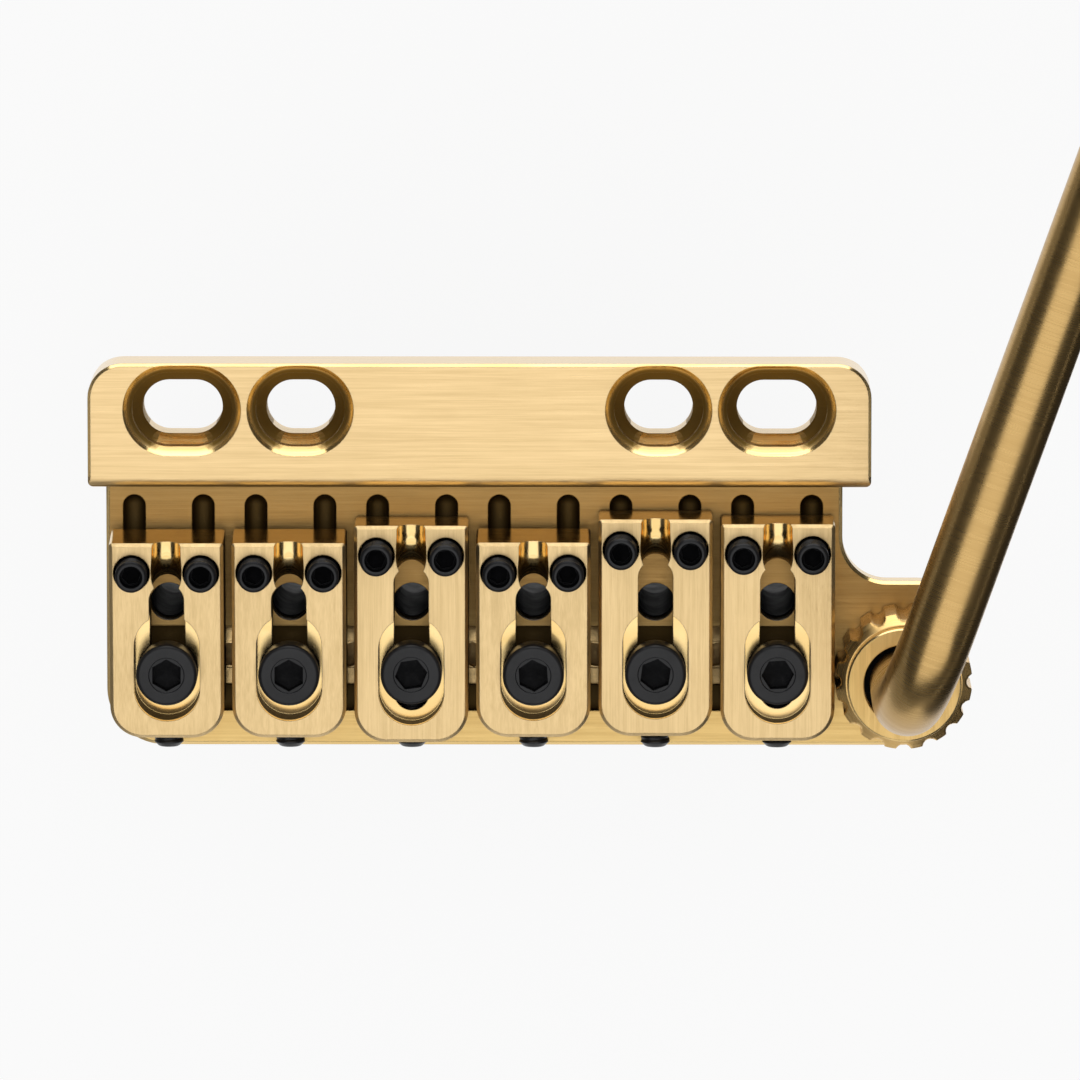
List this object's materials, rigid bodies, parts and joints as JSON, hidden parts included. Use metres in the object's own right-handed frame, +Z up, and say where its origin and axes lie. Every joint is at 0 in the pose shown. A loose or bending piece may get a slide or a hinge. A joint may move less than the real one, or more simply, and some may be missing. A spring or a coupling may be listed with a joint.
{
  "type": "guitar tremolo bridge",
  "caption": "Guitar tremolo bridge: slotted front plate, rocking bridge plate with adjustable string saddles, hanging block and a swinging arm in a knurled tension wheel.",
  "frame": {"origin": "centre of the four mounting slots, on the underside of the front plate where it sits on the guitar's top", "axes": "+X across the strings to the treble and arm side, +Y along the strings towards the neck, +Z up away from the guitar's top"},
  "size_m": [0.1193, 0.1345, 0.0734],
  "materials": {
    "gold_plate": "brushed and lacquered gold colour",
    "gold_screw": "brushed and lacquered gold colour",
    "gold_saddle": "brushed and lacquered gold colour",
    "gold_turned": "brushed and lacquered gold colour",
    "gold_arm": "brushed and lacquered gold colour",
    "black_screw": "black oxide",
    "black_block": "blackened steel",
    "hard_steel": "ground and hardened",
    "bronze": "plain sintered bronze",
    "black_nylon": "matt black nylon"
  },
  "bodies": {
    "front": {"front_plate": "gold_plate", "pivot_pins": "hard_steel"},
    "rocker": {"bridge_plate": "gold_plate", "pivot_bushes": "bronze", "tremolo_block": "black_block", "block_screws": "gold_screw", "lock_screws": "black_screw", "arm_seat": "gold_turned", "arm_sleeve": "black_nylon", "arm_seat_screw": "black_screw"},
    "arm": {"tremolo_arm": "gold_arm"},
    "wheel": {"tension_wheel": "gold_turned"},
    "height_screws_1": {"height_screws_1": "black_screw"},
    "saddle_1": {"saddle_1": "gold_saddle"},
    "intonation_screw_1": {"intonation_screw_1": "black_screw"},
    "height_screws_2": {"height_screws_2": "black_screw"},
    "saddle_2": {"saddle_2": "gold_saddle"},
    "intonation_screw_2": {"intonation_screw_2": "black_screw"},
    "height_screws_3": {"height_screws_3": "black_screw"},
    "saddle_3": {"saddle_3": "gold_saddle"},
    "intonation_screw_3": {"intonation_screw_3": "black_screw"},
    "height_screws_4": {"height_screws_4": "black_screw"},
    "saddle_4": {"saddle_4": "gold_saddle"},
    "intonation_screw_4": {"intonation_screw_4": "black_screw"},
    "height_screws_5": {"height_screws_5": "black_screw"},
    "saddle_5": {"saddle_5": "gold_saddle"},
    "intonation_screw_5": {"intonation_screw_5": "black_screw"},
    "height_screws_6": {"height_screws_6": "black_screw"},
    "saddle_6": {"saddle_6": "gold_saddle"},
    "intonation_screw_6": {"intonation_screw_6": "black_screw"}
  },
  "joints": [
    {"name": "tremolo_pivot", "type": "hinge", "parent": "front", "child": "rocker", "pos_m": [0, -0.005, 0.0024], "axis": [-1, 0, 0], "range_deg": [-3.5, 18], "stiffness_Nm_per_rad": 8},
    {"name": "arm_swing", "type": "hinge", "parent": "rocker", "child": "arm", "pos_m": [0.03755, -0.02355, 0.008], "axis": [0, 0, 1], "continuous": true},
    {"name": "tension_wheel_turn", "type": "hinge", "parent": "rocker", "child": "wheel", "pos_m": [0.03755, -0.02355, 0.008], "axis": [0, 0, 1], "range_deg": [-180, 180]},
    {"name": "saddle_1_intonation", "type": "slide", "parent": "rocker", "child": "height_screws_1", "axis": [0, 1, 0], "range_m": [-0.0019, 0.0011]},
    {"name": "saddle_1_height", "type": "hinge", "parent": "height_screws_1", "child": "saddle_1", "pos_m": [-0.0276, -0.02703, 0.00588], "axis": [1, 0, 0], "range_deg": [-2.5, 2.5]},
    {"name": "intonation_screw_1_turn", "type": "hinge", "parent": "rocker", "child": "intonation_screw_1", "pos_m": [-0.0276, -0.027, 0.00588], "axis": [0, 1, 0], "continuous": true},
    {"name": "saddle_2_intonation", "type": "slide", "parent": "rocker", "child": "height_screws_2", "axis": [0, 1, 0], "range_m": [-0.0019, 0.0011]},
    {"name": "saddle_2_height", "type": "hinge", "parent": "height_screws_2", "child": "saddle_2", "pos_m": [-0.0168, -0.027, 0.00588], "axis": [1, 0, 0], "range_deg": [-2.5, 2.5]},
    {"name": "intonation_screw_2_turn", "type": "hinge", "parent": "rocker", "child": "intonation_screw_2", "pos_m": [-0.0168, -0.027, 0.00588], "axis": [0, 1, 0], "continuous": true},
    {"name": "saddle_3_intonation", "type": "slide", "parent": "rocker", "child": "height_screws_3", "axis": [0, 1, 0], "range_m": [-0.0019, 0.0011]},
    {"name": "saddle_3_height", "type": "hinge", "parent": "height_screws_3", "child": "saddle_3", "pos_m": [-0.006, -0.02783, 0.00588], "axis": [1, 0, 0], "range_deg": [-0.8, 2.5]},
    {"name": "intonation_screw_3_turn", "type": "hinge", "parent": "rocker", "child": "intonation_screw_3", "pos_m": [-0.006, -0.027, 0.00588], "axis": [0, 1, 0], "continuous": true},
    {"name": "saddle_4_intonation", "type": "slide", "parent": "rocker", "child": "height_screws_4", "axis": [0, 1, 0], "range_m": [-0.0019, 0.0011]},
    {"name": "saddle_4_height", "type": "hinge", "parent": "height_screws_4", "child": "saddle_4", "pos_m": [0.0048, -0.02694, 0.00588], "axis": [1, 0, 0], "range_deg": [-2.5, 2.5]},
    {"name": "intonation_screw_4_turn", "type": "hinge", "parent": "rocker", "child": "intonation_screw_4", "pos_m": [0.0048, -0.027, 0.00588], "axis": [0, 1, 0], "continuous": true},
    {"name": "saddle_5_intonation", "type": "slide", "parent": "rocker", "child": "height_screws_5", "axis": [0, 1, 0], "range_m": [-0.0019, 0.0011]},
    {"name": "saddle_5_height", "type": "hinge", "parent": "height_screws_5", "child": "saddle_5", "pos_m": [0.0156, -0.02725, 0.00588], "axis": [1, 0, 0], "range_deg": [-0.8, 2.5]},
    {"name": "intonation_screw_5_turn", "type": "hinge", "parent": "rocker", "child": "intonation_screw_5", "pos_m": [0.0156, -0.027, 0.00588], "axis": [0, 1, 0], "continuous": true},
    {"name": "saddle_6_intonation", "type": "slide", "parent": "rocker", "child": "height_screws_6", "axis": [0, 1, 0], "range_m": [-0.0019, 0.0011]},
    {"name": "saddle_6_height", "type": "hinge", "parent": "height_screws_6", "child": "saddle_6", "pos_m": [0.0264, -0.02767, 0.00588], "axis": [1, 0, 0], "range_deg": [-0.8, 2.5]},
    {"name": "intonation_screw_6_turn", "type": "hinge", "parent": "rocker", "child": "intonation_screw_6", "pos_m": [0.0264, -0.027, 0.00588], "axis": [0, 1, 0], "continuous": true}
  ],
  "couplings": [
    {"joint": "intonation_screw_1_turn", "follows": "saddle_1_intonation", "rad_per_m": -13963},
    {"joint": "intonation_screw_2_turn", "follows": "saddle_2_intonation", "rad_per_m": -13963},
    {"joint": "intonation_screw_3_turn", "follows": "saddle_3_intonation", "rad_per_m": -13963},
    {"joint": "intonation_screw_4_turn", "follows": "saddle_4_intonation", "rad_per_m": -13963},
    {"joint": "intonation_screw_5_turn", "follows": "saddle_5_intonation", "rad_per_m": -13963},
    {"joint": "intonation_screw_6_turn", "follows": "saddle_6_intonation", "rad_per_m": -13963}
  ]
}
